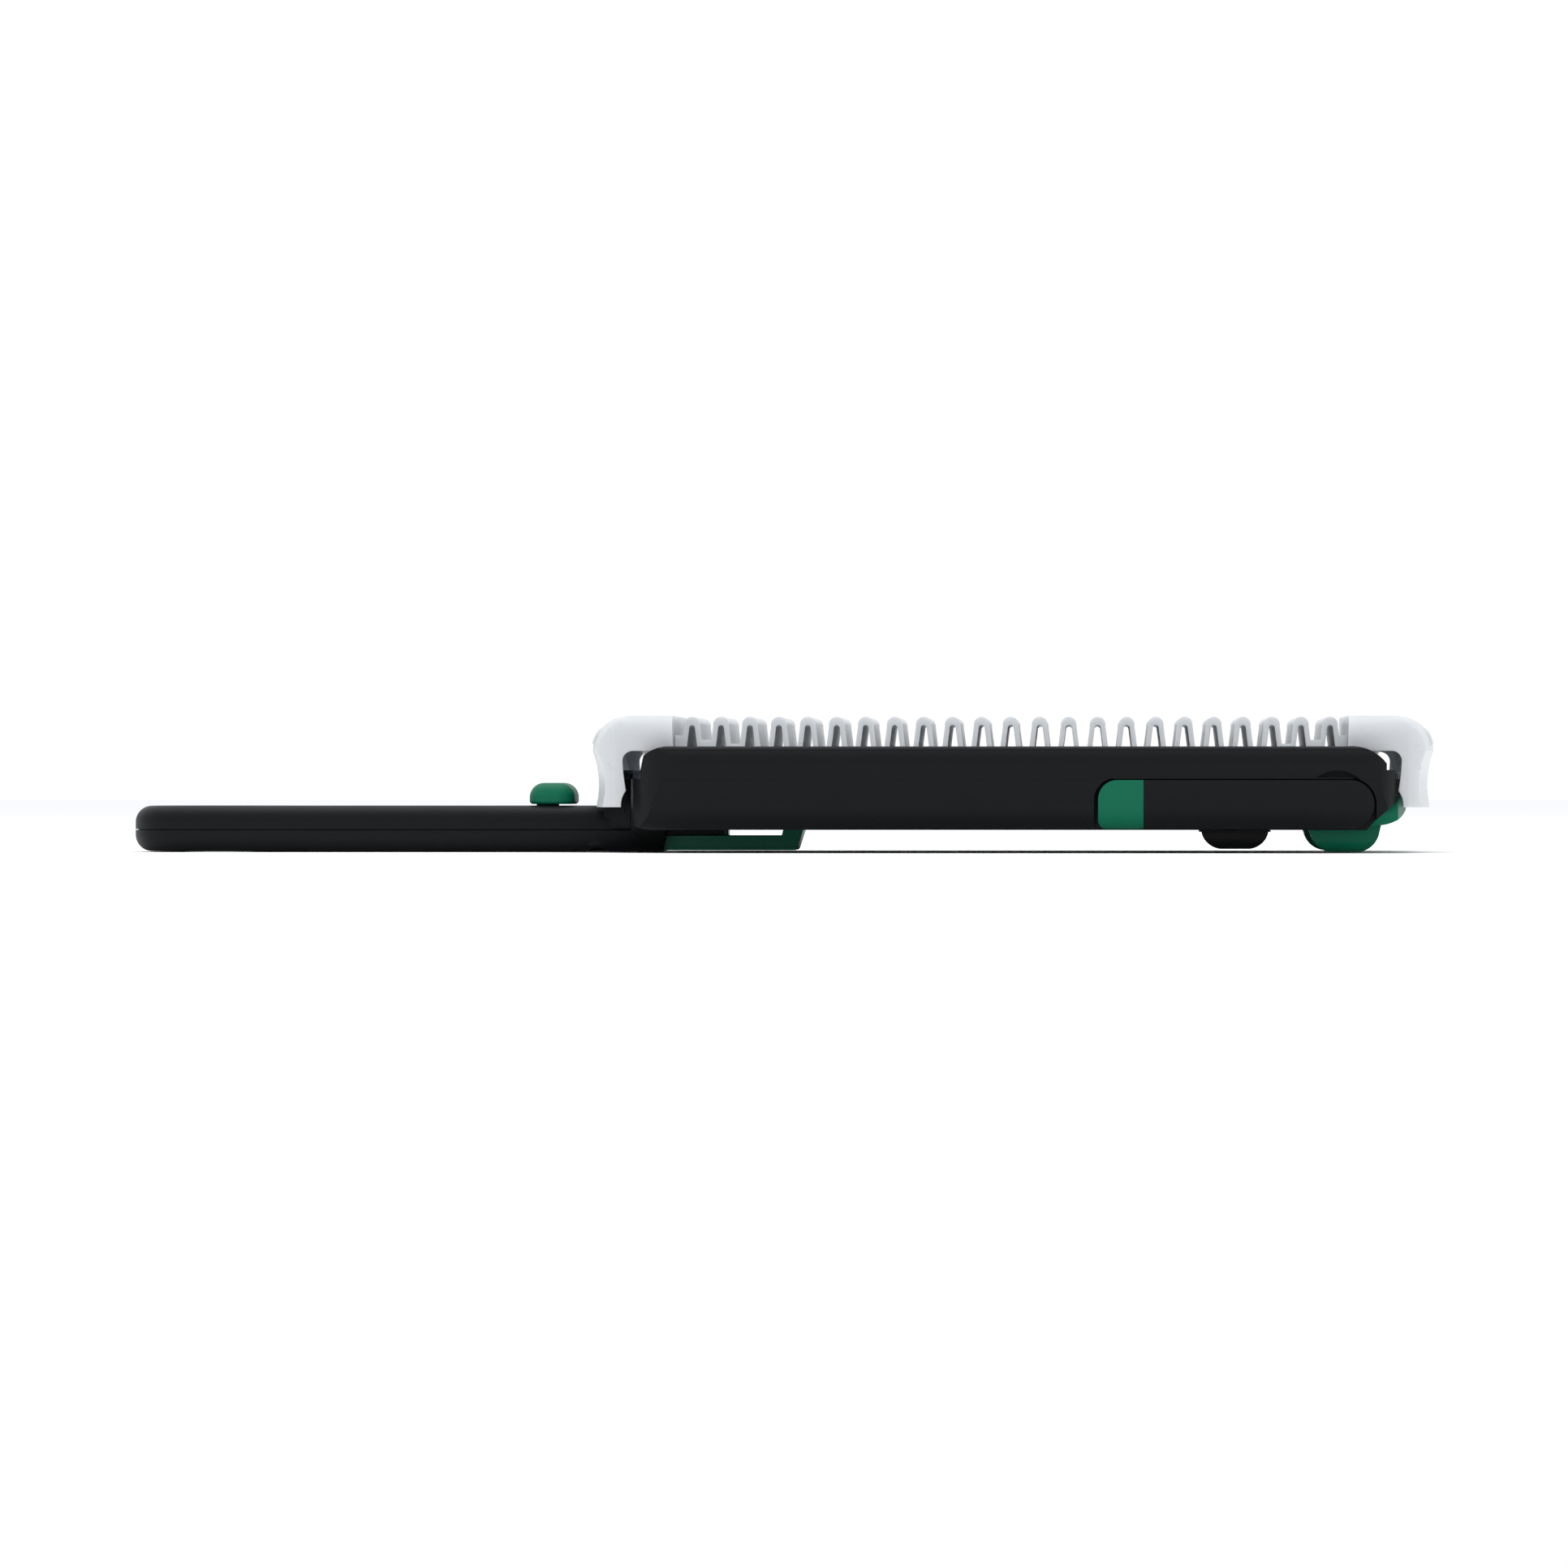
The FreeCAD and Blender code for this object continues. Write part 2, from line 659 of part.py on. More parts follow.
def ramp_level():
    """The ramp before its small rest tilt."""
    lip = -SLOT_GAP
    points = [
        (RAMP_NEAR, RAMP_HALF),
        (edge_x(RAMP_HALF, lip), RAMP_HALF),
        (edge_x(-RAMP_HALF, lip), -RAMP_HALF),
        (RAMP_NEAR, -RAMP_HALF),
    ]
    plate = prism_z(points, DECK_TOP - RAMP_THICK, DECK_TOP)
    plate = rounded(plate, 5.4, lambda e: e.BoundBox.ZLength > 1.0 and e.BoundBox.XMax < 0.0)

    def lip_edge(edge):
        slanted = edge.BoundBox.XLength > 20.0 and edge.BoundBox.YLength > 20.0
        return flat_at(edge, DECK_TOP) and slanted

    plate = rounded(plate, 1.6, lip_edge)
    ribs = []
    for y in rib_positions():
        ribs.append(rib(-27.0, edge_x(y, lip - 2.6), y))
    plate = joined(plate, *ribs)
    for side in (1, -1):
        barrel = side_span(side, 33.0, RAMP_HALF - 1.0)
        barrel_body = joined(
            rod_y(HINGE_X, HINGE_Z, 2.6, barrel[0], barrel[1]),
            block(HINGE_X - 2.0, HINGE_X + 2.6, barrel[0], barrel[1], HINGE_Z, DECK_TOP - 1.5),
        )
        stiffener = side_span(side, 24.0, 25.6)
        rail_bar = block(-20.0, 34.0, stiffener[0], stiffener[1], 15.4, DECK_TOP - 1.5)
        plate = joined(plate, barrel_body, rail_bar)
    tongue = [
        (edge_x(16.0, lip - 7.0), 16.0),
        (edge_x(20.6, lip - 7.0), 20.6),
        (edge_x(20.6, lip + 2.6), 20.6),
        ((edge_x(19.0, lip + 8.2), 18.8), (edge_x(12.6, lip + 9.6), 12.6)),
        (edge_x(-12.6, lip + 9.6), -12.6),
        ((edge_x(-19.0, lip + 8.2), -18.8), (edge_x(-20.6, lip + 2.6), -20.6)),
        (edge_x(-20.6, lip - 7.0), -20.6),
    ]
    tongue_plate = prism_z(tongue, 15.4, 17.4)
    riser = prism_z(
        [
            (edge_x(20.6, lip - 7.0), 20.6),
            (edge_x(20.6, lip - 1.0), 20.6),
            (edge_x(-20.6, lip - 1.0), -20.6),
            (edge_x(-20.6, lip - 7.0), -20.6),
        ],
        15.4,
        DECK_TOP - RAMP_THICK + 0.3,
    )
    plate = joined(plate, tongue_plate, riser)
    plate = plate.cut(rod_y(HINGE_X, HINGE_Z, HINGE_PIN_R + RUN_CLEAR, -BEYOND_Y, BEYOND_Y))
    return plate


def ramp_plate():
    ramp = turned_y(ramp_level(), HINGE_X, HINGE_Z, RAMP_TILT)
    for side in (1, -1):
        ends = side_span(side, 10.0, 12.4)
        lug = joined(
            block(CAM_PIN_X - 2.8, CAM_PIN_X + 2.8, ends[0], ends[1], CAM_PIN_Z, 18.8),
            rod_y(CAM_PIN_X, CAM_PIN_Z, 2.8, ends[0], ends[1]),
        )
        ramp = joined(ramp, lug)
    return ramp.cut(rod_y(CAM_PIN_X, CAM_PIN_Z, CAM_PIN_R, -BEYOND_Y, BEYOND_Y))


def ramp_hinge_pin():
    return rod_y(HINGE_X, HINGE_Z, HINGE_PIN_R, -44.2, 44.2)


def ramp_cam_pin():
    return rod_y(CAM_PIN_X, CAM_PIN_Z, CAM_PIN_R, -12.4, 12.4)


def cam_slot():
    """Slanted slot that the ramp's cam pin follows, as seen by the slider."""
    reach_x = CAM_PIN_X - HINGE_X
    drop = CAM_PIN_Z - HINGE_Z
    swing = math.radians(RAMP_SWING)
    end_x = HINGE_X + reach_x * math.cos(swing) + drop * math.sin(swing) - SLIDE_TRAVEL
    end_z = HINGE_Z - reach_x * math.sin(swing) + drop * math.cos(swing)
    radius = CAM_PIN_R + 0.12
    run_x, run_z = end_x - CAM_PIN_X, end_z - CAM_PIN_Z
    length = math.hypot(run_x, run_z)
    side_x, side_z = -run_z / length * radius, run_x / length * radius
    points = [
        (CAM_PIN_X + side_x, CAM_PIN_Z + side_z),
        (end_x + side_x, end_z + side_z),
        (end_x - side_x, end_z - side_z),
        (CAM_PIN_X - side_x, CAM_PIN_Z - side_z),
    ]
    return joined(
        prism_y(points, -20.0, 20.0),
        rod_y(CAM_PIN_X, CAM_PIN_Z, radius, -20.0, 20.0),
        rod_y(end_x, end_z, radius, -20.0, 20.0),
    )


def thickness_slider():
    """Bracket under the body, its tang in the handle and the two cam cheeks."""
    outline = [
        (HANDLE_FRONT_LOW + 0.18, BRACKET_LOW),
        (3.6, BRACKET_LOW),
        (5.4, 5.9),
        (0.3, 5.9),
        (-0.2, 4.0),
        (HANDLE_FRONT - 0.17, 4.0),
    ]
    bracket = prism_y(outline, -BRACKET_HALF, BRACKET_HALF)
    bracket = rounded(bracket, 0.8, lambda e: flat_at(e, BRACKET_LOW) and e.BoundBox.XMin > 0.0)
    tang = block(-76.0, -14.0, -5.0, 5.0, 3.4, 7.4)
    pad = block(-70.0, -54.0, -3.6, 3.6, 7.2, 9.0)
    pillar = block(0.4, 5.4, -9.4, 9.4, 5.7, 7.6)
    cheeks = []
    for side in (1, -1):
        ends = side_span(side, 7.0, 9.4)
        cheeks.append(block(0.4, 15.4, ends[0], ends[1], 5.7, 14.2))
    slider = joined(bracket, tang, pad, pillar, *cheeks)
    slider = slider.cut(rod_z(BUTTON_SCREW_X, 0.0, SCREW_R, 0.0, BEYOND_Z))
    slider = slider.cut(rod_z(BUTTON_SCREW_X, 0.0, 2.6, 0.0, 5.2))
    return slider.cut(cam_slot())


def thickness_button():
    """Domed thumb bar across the handle, on the stem that runs in its slot."""
    bar = block(-64.4, -52.9, -13.7, 13.7, BUTTON_LOW, BUTTON_TOP)
    bar = rounded(bar, 4.2, upright)
    bar = rounded(bar, 3.7, lambda e: flat_at(e, BUTTON_TOP))
    bar = rounded(bar, 0.9, lambda e: flat_at(e, BUTTON_LOW))
    stem = block(-70.6, -57.0, -3.8, 3.8, 9.0, HANDLE_TOP - 0.3)
    stem = rounded(stem, 3.4, upright)
    button = joined(bar, stem, block(-63.0, -58.2, -3.2, 3.2, HANDLE_TOP - 0.8, BUTTON_LOW + 1.0))
    return button.cut(rod_z(BUTTON_SCREW_X, 0.0, 1.1, 0.0, 14.6))


def button_screw():
    head = rod_z(BUTTON_SCREW_X, 0.0, 2.4, 3.5, 5.2)
    return joined(head, rod_z(BUTTON_SCREW_X, 0.0, 1.1, 5.2, 14.2))


def detent_spring():
    """Steel leaf under the tang; its bump clicks over the notches in the handle floor."""
    x = DETENT_X
    points = [
        (x - 16.0, 3.4),
        (x - 16.0, 3.0),
        (x - 9.0, 3.0),
        (x - 2.0, 2.5),
        (x - 0.8, 2.2),
        ((x, 2.05), (x + 0.8, 2.2)),
        (x + 3.0, 2.9),
        (x + 3.0, 3.2),
        (x + 0.8, 2.6),
        ((x, 2.45), (x - 0.8, 2.6)),
        (x - 2.0, 2.9),
        (x - 9.0, 3.4),
    ]
    return prism_y(points, -2.5, 2.5)


def round_bottom(y, half, low):
    """Long U-shaped form that rounds the underside of a foot or knob across its width."""
    curve = min(half, 3.2)
    return prism_x(
        [
            (y - half, 10.0),
            (y - half, low + curve),
            ((y - half + ARC_INSET * curve, low + ARC_INSET * curve), (y - half + curve, low)),
            (y + half - curve, low),
            ((y + half - ARC_INSET * curve, low + ARC_INSET * curve), (y + half, low + curve)),
            (y + half, 10.0),
        ],
        90.0,
        170.0,
    )


def nose_foot(y):
    """One rounded foot under the far end."""
    outline = [
        (132.8, BODY_BOTTOM),
        (133.2, 4.6),
        ((135.4, 1.2), (139.4, 0.0)),
        (143.8, 0.0),
        ((148.6, 1.6), (150.4, 5.0)),
        (151.0, 7.6),
        (148.0, 7.6),
        (147.0, BODY_BOTTOM),
    ]
    foot = prism_y(outline, y - FOOT_HALF, y + FOOT_HALF)
    return foot.common(round_bottom(y, FOOT_HALF, 0.0))


def nose_grip():
    """Soft strip across the far end with two feet."""
    seen_from_side = [
        (147.2, 6.4),
        (150.8, 6.8),
        ((155.4, 8.5), (FAR_X + 0.7, 10.6)),
        ((FAR_X + 1.2, 12.4), (FAR_X + 0.2, 13.6)),
        (FAR_X - 2.5, 13.8),
        (147.2, 8.0),
    ]
    seen_end_on = [
        (-42.6, 13.8),
        (42.6, 13.8),
        ((45.6, 12.6), (46.6, 10.0)),
        ((45.2, 7.2), (42.2, 6.4)),
        (-42.2, 6.4),
        ((-45.2, 7.2), (-46.6, 10.0)),
        ((-45.6, 12.6), (-42.6, 13.8)),
    ]
    seen_from_above = [
        (140.0, 50.0),
        (FAR_X - 2.2, 47.0),
        ((FAR_X + 1.2, 0.0), (FAR_X - 2.2, -47.0)),
        (140.0, -50.0),
    ]
    strip = prism_y(seen_from_side, -46.6, 46.6)
    strip = strip.common(prism_x(seen_end_on, 140.0, BEYOND_X))
    strip = strip.common(prism_z(seen_from_above, 0.0, 20.0))
    return joined(strip, nose_foot(-FOOT_Y), nose_foot(FOOT_Y)).cut(body_outer())


def stand_outline(reach):
    """Arm seen from the side."""
    return [
        (ARM_TIP_X + 4.8, STAND_Z + reach),
        (STAND_X, STAND_Z + reach),
        ((STAND_X + reach, STAND_Z), (STAND_X, STAND_Z - reach)),
        (ARM_TIP_X + 2.0, STAND_Z - reach),
        ((ARM_TIP_X + 0.6, STAND_Z - reach + 0.6), (ARM_TIP_X, STAND_Z - reach + 2.0)),
        (ARM_TIP_X, STAND_Z + reach - 4.8),
        ((ARM_TIP_X + 1.4, STAND_Z + reach - 1.4), (ARM_TIP_X + 4.8, STAND_Z + reach)),
    ]


def arm_section():
    """Arm seen end on: flat inside, following the leaning side wall outside."""
    return [
        (ARM_INNER, 5.0),
        (47.6, 6.0),
        ((50.5, 8.2), (51.9, 12.0)),
        (53.5, 18.4),
        (ARM_INNER, 18.4),
    ]


def stand_arm_whole():
    arm = prism_y(stand_outline(ARM_R), ARM_INNER, BEYOND_Y)
    arm = arm.common(prism_x(arm_section(), 60.0, BEYOND_X))
    return arm


def stand_arm():
    arm = stand_arm_whole().cut(block(0.0, ARM_TIP_X + TIP_LENGTH, 0.0, BEYOND_Y, 0.0, BEYOND_Z))
    return arm.cut(rod_y(STAND_X, STAND_Z, AXLE_R, 0.0, 50.0))


def stand_tip():
    return stand_arm_whole().common(block(0.0, ARM_TIP_X + TIP_LENGTH, 0.0, BEYOND_Y, 0.0, BEYOND_Z))


def stand_axle():
    """Cross shaft with the collar that the lock drops into, folded or open."""
    axle = rod_y(STAND_X, STAND_Z, AXLE_R, -50.0, 50.0)
    collar = rod_y(STAND_X, STAND_Z, 4.1, LOCK_Y - 2.6, LOCK_Y + 2.6)
    axle = joined(axle, collar)
    for angle in (0.0, STAND_ANGLE):
        notch = block(STAND_X - 6.0, STAND_X - 2.3, LOCK_Y - 3.0, LOCK_Y + 3.0, STAND_Z - 1.6, STAND_Z + 1.6)
        axle = axle.cut(turned_y(notch, STAND_X, STAND_Z, angle))
    return axle


def stand_bushes():
    bushes = []
    for side in (1, -1):
        ends = side_span(side, 40.0, ARM_INNER - ARM_GAP)
        bush = rod_y(STAND_X, STAND_Z, BUSH_R, ends[0], ends[1])
        bushes.append(bush.cut(rod_y(STAND_X, STAND_Z, AXLE_R + RUN_CLEAR, -BEYOND_Y, BEYOND_Y)))
    return Part.makeCompound(bushes)


def stand_lock():
    """Slide under the shelf: thumb knob, cover plate, stem and the nose that enters the collar."""
    outline = [
        (105.9, 5.3),
        (106.2, 4.2),
        ((108.2, 1.7), (111.8, 0.8)),
        (116.8, 0.8),
        ((120.4, 1.7), (122.4, 4.2)),
        (122.7, 5.3),
    ]
    knob = prism_y(outline, LOCK_Y - 5.0, LOCK_Y + 5.0)
    knob = knob.common(round_bottom(LOCK_Y, 5.0, 0.8))
    plate = block(105.4, 123.2, LOCK_Y - 6.5, LOCK_Y + 12.7, 5.1, 5.5)
    stem = block(109.5, 114.5, LOCK_Y - 1.9, LOCK_Y + 1.9, 5.0, 13.4)
    nose_end = STAND_X - 5.6
    nose = block(109.5, nose_end, LOCK_Y - 1.9, LOCK_Y + 1.9, STAND_Z - 1.2, STAND_Z + 1.2)
    keeper = block(108.4, 115.6, LOCK_Y - 3.4, LOCK_Y + 3.4, 7.9, 9.6)
    return joined(knob, plate, stem, nose, keeper)


def guard_from_above(inset):
    """Guard outline from above, with gently bowed ends."""
    corner = 6.0
    half = GUARD_HALF - inset
    near, far = GUARD_NEAR + inset, HALF_LENGTH - inset
    near_end, far_end = near + GUARD_BOW, far - GUARD_BOW
    return [
        (near_end + corner, half),
        (far_end - corner, half),
        ((far_end - 1.6, half - 1.6), (far_end, half - corner)),
        ((far, 0.0), (far_end, -half + corner)),
        ((far_end - 1.6, -half + 1.6), (far_end - corner, -half)),
        (near_end + corner, -half),
        ((near_end + 1.6, -half + 1.6), (near_end, -half + corner)),
        ((near, 0.0), (near_end, half - corner)),
        ((near_end + 1.6, half - 1.6), (near_end + corner, half)),
    ]


def guard_end_sweep(inset, x_end, inward):
    """Round shoulder over a leg with a slight waist, swept along one bowed end of the guard."""
    chord = GUARD_HALF - 6.0
    sweep = (chord * chord + GUARD_BOW * GUARD_BOW) / (2.0 * GUARD_BOW)
    axis = vec(x_end + inward * sweep, 0.0, 0.0)
    reach = sweep - inset
    top = GUARD_TOP - inset
    turn = GUARD_SHOULDER_R - inset
    bend = ARC_INSET * turn
    points = [
        (0.0, 0.0),
        (reach - 0.9, 0.0),
        (reach - 0.9, GUARD_HOOK_LOW),
        ((reach - 1.5, 15.6), (reach, top - turn)),
        ((reach - bend, top - bend), (reach - turn, top)),
        (0.0, top),
    ]
    profile = outline_face(points, lambda radius, z: axis + vec(radius, 0.0, z))
    return profile.revolve(axis, vec(0, 0, 1), 360.0)


def guard_end_on(inset):
    """Guard outline from the end, with rounded top corners."""
    half = GUARD_HALF - inset
    top = GUARD_TOP - inset
    turn = GUARD_EDGE_R - inset
    bend = ARC_INSET * turn
    return [
        (-half, 0.0),
        (-half, top - turn),
        ((-half + bend, top - bend), (-half + turn, top)),
        (half - turn, top),
        ((half - bend, top - bend), (half, top - turn)),
        (half, 0.0),
    ]


def guard_form(inset):
    """Solid guard, or the same shape shrunk by a wall's thickness."""
    form = prism_z(guard_from_above(inset), 0.0, BEYOND_Z)
    form = form.common(prism_x(guard_end_on(inset), -BEYOND_X, BEYOND_X))
    form = form.common(guard_end_sweep(inset, GUARD_NEAR, 1))
    return form.common(guard_end_sweep(inset, HALF_LENGTH, -1))


def guard_clearance():
    """What is taken away below the caps: the legs' inner edges and the opening between them."""
    near, far = GUARD_NEAR, HALF_LENGTH
    points = [
        (near + 9.0, 0.0),
        (near + 9.0, GUARD_HOOK_LOW),
        ((near + 9.2, 13.3), (near + 10.2, 15.4)),
        (near + 9.6, 19.6),
        (near + 9.4, 22.8),
        ((near + 10.1, 24.6), (near + 12.2, CAP_OPENING_TOP)),
        (far - 12.2, CAP_OPENING_TOP),
        ((far - 10.1, 24.6), (far - 9.4, 22.8)),
        (far - 9.6, 19.6),
        (far - 10.2, 15.4),
        ((far - 9.2, 13.3), (far - 9.0, GUARD_HOOK_LOW)),
        (far - 9.0, 0.0),
    ]
    return prism_y(points, -BEYOND_Y, BEYOND_Y)


def notch(drop, x0, x1):
    """Dip across the top of a cap, with soft upper corners; drop lowers and widens it."""
    slope = 0.9 * drop
    top_half, low_half = NOTCH_TOP_HALF + slope, NOTCH_LOW_HALF + slope
    floor = NOTCH_FLOOR - drop
    points = [
        (-top_half - 1.6, GUARD_TOP + 1.0),
        (-top_half - 1.6, GUARD_TOP),
        ((-top_half + 0.1, GUARD_TOP - 0.5), (-top_half + 1.4, GUARD_TOP - 1.4)),
        (-low_half - 0.6, floor + 0.5),
        ((-low_half + 0.4, floor + 0.1), (-low_half + 1.4, floor)),
        (low_half - 1.4, floor),
        ((low_half - 0.4, floor + 0.1), (low_half + 0.6, floor + 0.5)),
        (top_half - 1.4, GUARD_TOP - 1.4),
        ((top_half - 0.1, GUARD_TOP - 0.5), (top_half + 1.6, GUARD_TOP)),
        (top_half + 1.6, GUARD_TOP + 1.0),
    ]
    return prism_x(points, x0, x1)


def end_bosses():
    """Small round-topped pads, two on each cap's end wall, 0.5 mm proud of it."""
    skin = guard_form(-0.5).cut(guard_form(1.0))
    pads = []
    for y in (-25.7, 25.7):
        points = [
            (y - 3.2, 27.3),
            (y - 2.3, 30.0),
            ((y, 31.2), (y + 2.3, 30.0)),
            (y + 3.2, 27.3),
        ]
        pads.append(skin.common(prism_x(points, GUARD_NEAR - 1.0, GUARD_NEAR + 8.0)))
        pads.append(skin.common(prism_x(points, HALF_LENGTH - 8.0, HALF_LENGTH)))
    return pads


def guard_frame():
    """Two hollow end caps, the beams that join them and the runners in the deck channels."""
    wall = GUARD_WALL
    middle = block(CAP_INNER_NEAR, CAP_INNER_FAR, -BEYOND_Y, BEYOND_Y, 0.0, BEYOND_Z)
    solid_part = block(CAP_INNER_NEAR - wall, CAP_INNER_FAR + wall, -BEYOND_Y, BEYOND_Y, 0.0, BEYOND_Z)
    notch_ends = [(-BEYOND_X, CAP_INNER_NEAR - 7.0), (CAP_INNER_FAR + 7.0, BEYOND_X)]
    outer = guard_form(0.0)
    inner = guard_form(wall).cut(solid_part)
    for x0, x1 in notch_ends:
        outer = outer.cut(notch(0.0, x0, x1))
        inner = inner.cut(notch(wall, x0 - wall, x1 + wall))
    shell = outer.cut(inner).cut(guard_clearance()).cut(middle)
    shell = shell.cut(block(-BEYOND_X, BEYOND_X, -BEYOND_Y, BEYOND_Y, -1.0, GUARD_HOOK_LOW))
    shell = shell.cut(block(-BEYOND_X, -41.0, -16.0, 16.0, 0.0, BUTTON_TOP + 1.0))
    runner_low = DECK_TOP - CHANNEL_DEPTH + 0.3
    extras = end_bosses()
    for side in (1, -1):
        beam = side_span(side, COMB_HALF + 0.15, GUARD_HALF - 1.0)
        ledge = side_span(side, COMB_HALF - COMB_LEDGE, COMB_HALF + 2.0)
        runner = side_span(side, CHANNEL_INNER + 0.6, CHANNEL_OUTER - 0.6)
        extras.append(block(-34.0, 150.0, beam[0], beam[1], WEB_LOW, WEB_TOP))
        extras.append(block(-24.0, 140.0, ledge[0], ledge[1], WEB_LOW - 0.9, WEB_LOW))
        extras.append(block(-14.0, 136.0, runner[0], runner[1], runner_low, WEB_LOW + 0.4))
    return joined(shell, *extras)


def arch_centres():
    return [ARCH_FIRST + index * ARCH_PITCH for index in range(ARCH_COUNT)]


def arch(x):
    """One rib of the comb, seen from the side, before it is hollowed."""
    points = [
        (x - 2.7, WEB_TOP - 0.5),
        (x - 1.95, ARCH_TOP - 2.3),
        ((x, ARCH_TOP), (x + 1.95, ARCH_TOP - 2.3)),
        (x + 2.7, WEB_TOP - 0.5),
    ]
    return prism_y(points, -COMB_HALF, COMB_HALF)


def arch_slot(x):
    """The open middle of one rib."""
    points = [
        (x - 1.35, WEB_TOP),
        (x - 0.75, ARCH_TOP - 2.9),
        ((x, ARCH_TOP - 2.1), (x + 0.75, ARCH_TOP - 2.9)),
        (x + 1.35, WEB_TOP),
    ]
    return prism_y(points, -COMB_HALF - 1.0, COMB_HALF + 1.0)


def arch_fills():
    """Webs between the first few ribs at each end, lower towards the middle."""
    fills = []
    middle = (ARCH_FIRST + arch_centres()[-1]) / 2.0
    for index, top in enumerate(ARCH_FILL_TOPS):
        x1 = ARCH_FIRST + index * ARCH_PITCH
        x0 = max(x1 - ARCH_PITCH, CAP_INNER_NEAR + 0.2)
        for start, end in ((x0, x1), (2.0 * middle - x1, 2.0 * middle - x0)):
            fills.append(block(start, end, -COMB_HALF, COMB_HALF, WEB_TOP - 0.5, top))
    return fills


def spike_row(x):
    """Row of pointed teeth under the comb that grips the food."""
    half = SPIKE_COUNT * SPIKE_PITCH / 2.0
    points = [(-half, WEB_LOW + 0.4)]
    for index in range(SPIKE_COUNT):
        y = -half + index * SPIKE_PITCH
        points.append((y, WEB_LOW - 0.6))
        points.append((y + SPIKE_PITCH / 2.0, SPIKE_TIP))
    points.append((half, WEB_LOW - 0.6))
    points.append((half, WEB_LOW + 0.4))
    return prism_x(points, x - 0.8, x + 0.8)


def guard_comb():
    """Middle plate of the guard: hollow ribs above, pointed teeth below."""
    ends = (CAP_INNER_NEAR + 0.2, CAP_INNER_FAR - 0.2)
    comb = block(ends[0], ends[1], -COMB_HALF, COMB_HALF, WEB_LOW, WEB_TOP)
    comb = joined(comb, *[arch(x) for x in arch_centres()], *arch_fills())
    for x in arch_centres():
        comb = comb.cut(arch_slot(x))
    return joined(comb, *[spike_row(x) for x in arch_centres()])


def export(name, shape):
    shape.exportStep("parts/" + name + ".step")


os.makedirs("parts", exist_ok=True)
export("body_frame", body_frame())
export("handle_lower_cover", handle_lower_cover())
export("handle_screws", handle_screws())
export("hang_ring", hang_ring())
export("deck_plate", deck_plate())
export("blade", blade())
export("blade_holder_left", blade_holder(1))
export("blade_holder_right", blade_holder(-1))
export("blade_screws", blade_screws())
export("nose_grip", nose_grip())
export("ramp_plate", ramp_plate())
export("ramp_hinge_pin", ramp_hinge_pin())
export("ramp_cam_pin", ramp_cam_pin())
export("thickness_slider", thickness_slider())
export("thickness_button", thickness_button())
export("button_screw", button_screw())
export("detent_spring", detent_spring())
export("stand_arm_left", stand_arm())
export("stand_arm_right", mirrored(stand_arm()))
export("stand_tip_left", stand_tip())
export("stand_tip_right", mirrored(stand_tip()))
export("stand_axle", stand_axle())
export("stand_bushes", stand_bushes())
export("stand_lock", stand_lock())
export("guard_frame", guard_frame())
export("guard_comb", guard_comb())
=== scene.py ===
import math

import bpy
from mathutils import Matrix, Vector


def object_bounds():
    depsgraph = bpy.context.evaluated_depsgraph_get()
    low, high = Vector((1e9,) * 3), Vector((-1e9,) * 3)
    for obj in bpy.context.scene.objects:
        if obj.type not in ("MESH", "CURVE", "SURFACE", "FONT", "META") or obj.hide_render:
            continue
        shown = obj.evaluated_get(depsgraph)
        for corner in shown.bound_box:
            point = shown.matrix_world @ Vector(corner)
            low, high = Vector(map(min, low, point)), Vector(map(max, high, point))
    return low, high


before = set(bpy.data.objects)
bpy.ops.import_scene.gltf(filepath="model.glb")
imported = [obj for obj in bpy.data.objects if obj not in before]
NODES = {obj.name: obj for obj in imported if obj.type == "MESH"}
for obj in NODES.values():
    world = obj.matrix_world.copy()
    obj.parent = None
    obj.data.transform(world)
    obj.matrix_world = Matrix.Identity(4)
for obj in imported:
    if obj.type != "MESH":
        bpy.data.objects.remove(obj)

CAD_LOW, CAD_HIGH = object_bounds()

# Camera: a long lens at the side of the slicer, level with its middle. It stands
# beside the guard's middle and turns back a little towards the handle.
VIEW_DISTANCE = 2.40
VIEW_WIDTH = 0.40
VIEW_FROM_X = 0.076
VIEW_TO_X = 0.0
SENSOR = 36.0
CLIP_START = 0.01

# Room and floor
ROOM_TINT = (0.95, 0.975, 1.0, 1.0)
ROOM_STRENGTH = 1.02
BACKDROP_WHITE = (1.0, 1.0, 1.0, 1.0)
FLOOR_REACH = 8.0
FLOOR_GAP = 0.0002

# Blade slant in plan, as the deck shelf and the ramp edge have it
BLADE_SLOPE = 0.414
BLADE_SLANT = math.atan(BLADE_SLOPE)

# Where the deck's matt guard channels and raised ribs are, in metres
CHANNEL_MIDDLE = 0.04315
CHANNEL_HALF = 0.00160
CHANNEL_BELOW = 0.0204
RIB_PITCH = 0.0083
RIB_HALF = 0.00042
RIBS_HALF = 0.0400
RAMP_RIBS_FROM = -0.0272
RAMP_RIBS_TO = 0.0514
DECK_RIBS_FROM = 0.0872
DECK_RIBS_TO = 0.1492
MATT_ROUGH = 0.75

# The part of a noise texture's range that carries most of its values
NOISE_LOW = 0.3
NOISE_HIGH = 0.7

# Radius of the softly rounded edges, in metres, and how finely it is sampled
MOULDED_EDGE = 0.00025
POLISHED_EDGE = 0.0002
STEEL_EDGE = 0.0001
EDGE_SAMPLES = 6


